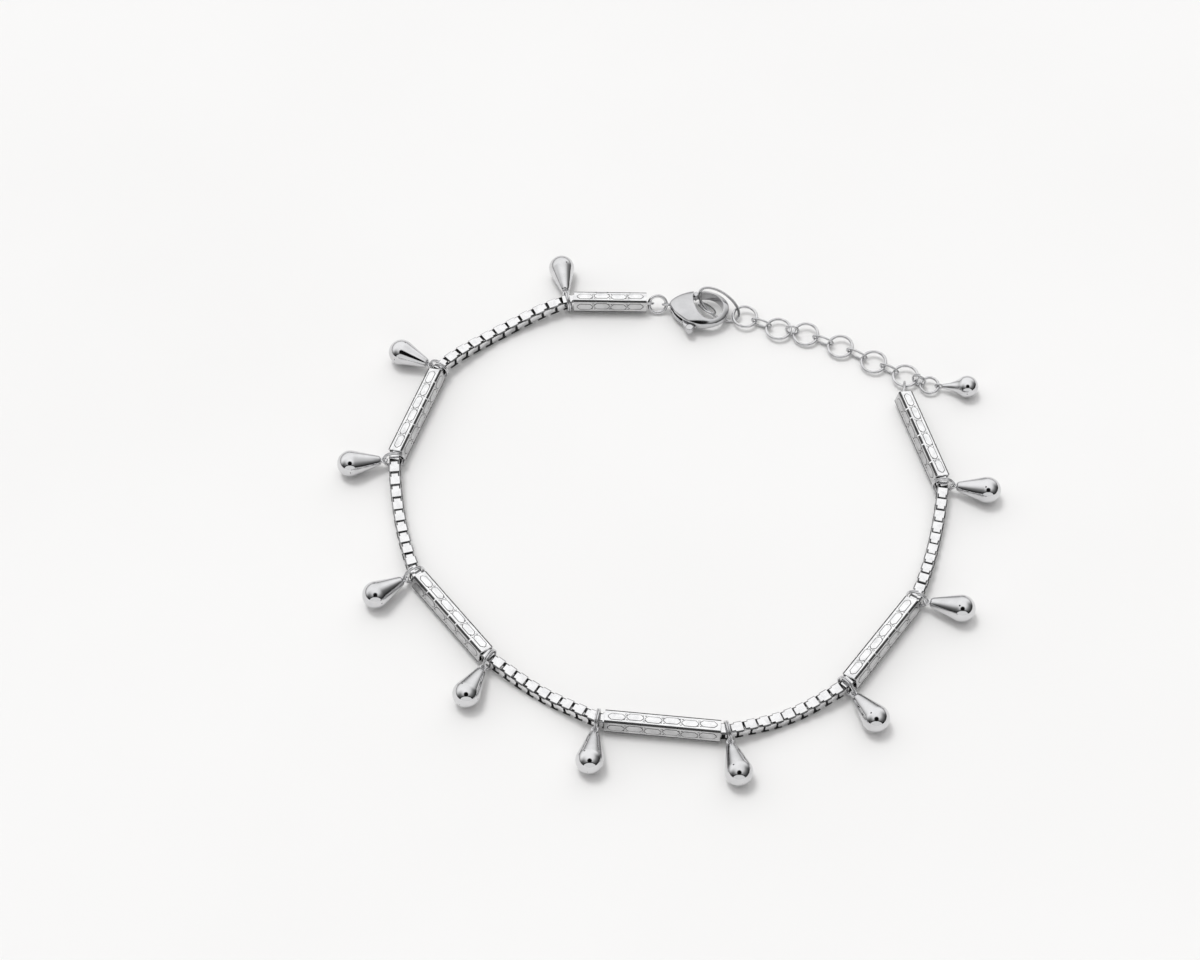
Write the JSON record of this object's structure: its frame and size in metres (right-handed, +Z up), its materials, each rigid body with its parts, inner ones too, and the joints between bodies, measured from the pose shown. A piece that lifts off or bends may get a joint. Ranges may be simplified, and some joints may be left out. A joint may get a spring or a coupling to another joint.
{
  "type": "charm bracelet",
  "caption": "Stainless steel bracelet of engraved square tubes on a box chain, with polished teardrop charms, a lobster clasp and an extension chain, laid out closed.",
  "frame": {"origin": "bottom centre of the bracelet's bounding box, on the surface it lies on", "axes": "+Z up from the surface, +X towards the side where the end charm lies, +Y towards the clasp"},
  "size_m": [0.085, 0.081, 0.0034],
  "materials": {
    "tube_steel": "polished stainless steel with fine engraved lines and bright rubbed edges",
    "chain_steel": "polished stainless steel strip",
    "wire_steel": "polished stainless steel wire",
    "mirror_steel": "mirror polished stainless steel"
  },
  "bodies": {
    "bracelet": {"bar_1": "tube_steel", "bar_2": "tube_steel", "bar_3": "tube_steel", "bar_4": "tube_steel", "bar_5": "tube_steel", "bar_6": "tube_steel", "chain_1": "chain_steel", "chain_2": "chain_steel", "chain_3": "chain_steel", "chain_4": "chain_steel", "chain_5": "chain_steel", "junction_ring_1": "wire_steel", "junction_ring_2": "wire_steel", "junction_ring_3": "wire_steel", "junction_ring_4": "wire_steel", "junction_ring_5": "wire_steel", "junction_ring_6": "wire_steel", "junction_ring_7": "wire_steel", "junction_ring_8": "wire_steel", "junction_ring_9": "wire_steel", "junction_ring_10": "wire_steel", "charm_1": "mirror_steel", "charm_2": "mirror_steel", "charm_3": "mirror_steel", "charm_4": "mirror_steel", "charm_5": "mirror_steel", "charm_6": "mirror_steel", "charm_7": "mirror_steel", "charm_8": "mirror_steel", "charm_9": "mirror_steel", "charm_10": "mirror_steel", "start_loop": "wire_steel", "clasp_ring": "wire_steel", "clasp_body": "mirror_steel", "held_link": "wire_steel", "inner_link": "wire_steel", "extension_ring_1": "wire_steel", "extension_ring_2": "wire_steel", "extension_ring_3": "wire_steel", "extension_ring_4": "wire_steel", "extension_ring_5": "wire_steel", "extension_ring_6": "wire_steel", "extension_link_1": "wire_steel", "extension_link_2": "wire_steel", "extension_link_3": "wire_steel", "extension_link_4": "wire_steel", "extension_link_5": "wire_steel", "end_link": "wire_steel", "end_loop": "wire_steel", "end_ring": "wire_steel", "end_charm": "mirror_steel"},
    "lever": {"clasp_lever": "mirror_steel"}
  },
  "joints": [
    {"name": "lever_hinge", "type": "hinge", "parent": "bracelet", "child": "lever", "pos_m": [0.0027, 0.03213, 0.00141], "axis": [0, 0, 1], "range_deg": [-15, 0], "stiffness_Nm_per_rad": 0.002}
  ]
}
